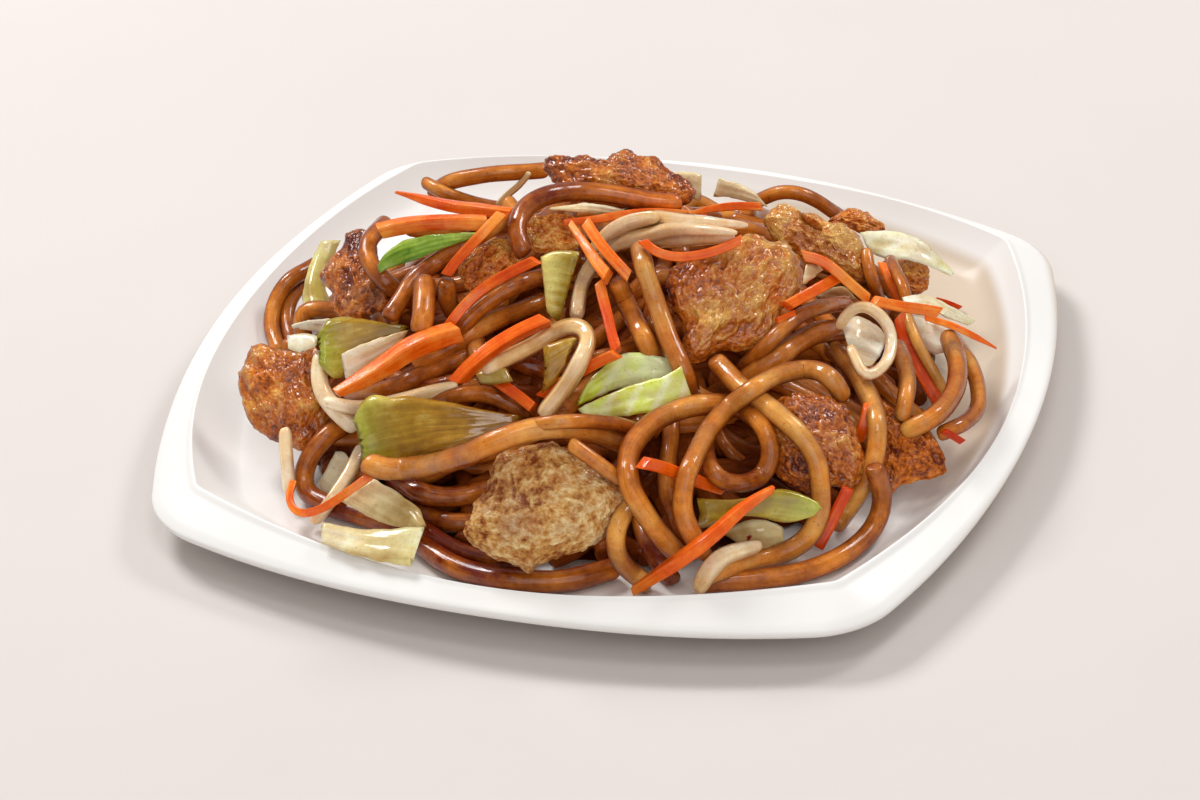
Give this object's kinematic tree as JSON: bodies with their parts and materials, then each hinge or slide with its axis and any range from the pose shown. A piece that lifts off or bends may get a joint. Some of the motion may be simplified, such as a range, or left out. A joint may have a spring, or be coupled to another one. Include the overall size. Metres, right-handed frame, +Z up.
{
  "type": "plate of stir-fried noodles",
  "caption": "Square white plate with a raised rim, heaped with thick brown noodles, fried chicken, carrot strips, cabbage, celery and sprouts.",
  "frame": {"origin": "on the table plane, under the centre of the plate", "axes": "+Z up; +X and +Y towards the middles of two sides of the square plate, with the front of the heap towards -Y"},
  "size_m": [0.23, 0.23, 0.0708],
  "materials": {
    "plate": "glossy white glaze, smooth",
    "noodle": "glossy brown sauced noodle, slightly translucent",
    "chicken": "browned sauced meat, wrinkled and wet",
    "batter": "pale golden crumbly fried crust",
    "carrot": "moist orange carrot strip",
    "sprout": "translucent cream, glossy",
    "cabbage": "pale leaf with ribs, moist",
    "celery": "ribbed stalk, olive with sauce",
    "leaf": "veined green leaf"
  },
  "bodies": {
    "root": {"cabbage_bright_back": "cabbage", "cabbage_bright_front": "cabbage", "cabbage_fold_back": "cabbage", "cabbage_fold_front": "cabbage", "cabbage_over_celery": "cabbage", "cabbage_stalk": "cabbage", "carrot_back_end": "carrot", "carrot_back_long": "carrot", "carrot_behind_sprout": "carrot", "carrot_cross_left": "carrot", "carrot_cross_right": "carrot", "carrot_fold": "carrot", "carrot_front_long": "carrot", "carrot_in_ring": "carrot", "carrot_left_big": "carrot", "carrot_left_slope": "carrot", "carrot_left_thick": "carrot", "carrot_left_tip": "carrot", "carrot_middle_long": "carrot", "carrot_middle_short": "carrot", "carrot_middle_wide": "carrot", "carrot_over_seared": "carrot", "carrot_red_lower": "carrot", "carrot_red_upright": "carrot", "carrot_right_flat": "carrot", "carrot_right_orange": "carrot", "carrot_right_red": "carrot", "carrot_right_spike": "carrot", "carrot_right_yellow": "carrot", "celery_big": "celery", "celery_left": "celery", "celery_right": "celery", "celery_stub": "celery", "chicken_back": "chicken", "chicken_back_right": "chicken", "chicken_battered": "batter", "chicken_left": "chicken", "chicken_left_back": "chicken", "chicken_left_middle": "chicken", "chicken_right_back": "chicken", "chicken_right_edge": "chicken", "chicken_right_upper": "chicken", "chicken_ring": "chicken", "chicken_seared": "chicken", "chicken_under_hook": "chicken", "green_cabbage_leaf": "cabbage", "green_leaf": "leaf", "noodles": "noodle", "plate": "plate", "sprout_back_high": "sprout", "sprout_back_low": "sprout", "sprout_front": "sprout", "sprout_left_cross": "sprout", "sprout_left_curl": "sprout", "sprout_left_long": "sprout", "sprout_left_low": "sprout", "sprout_middle": "sprout", "sprout_right_loop": "sprout", "white_cabbage_loop": "cabbage", "white_cabbage_right": "cabbage"}
  },
  "joints": []
}
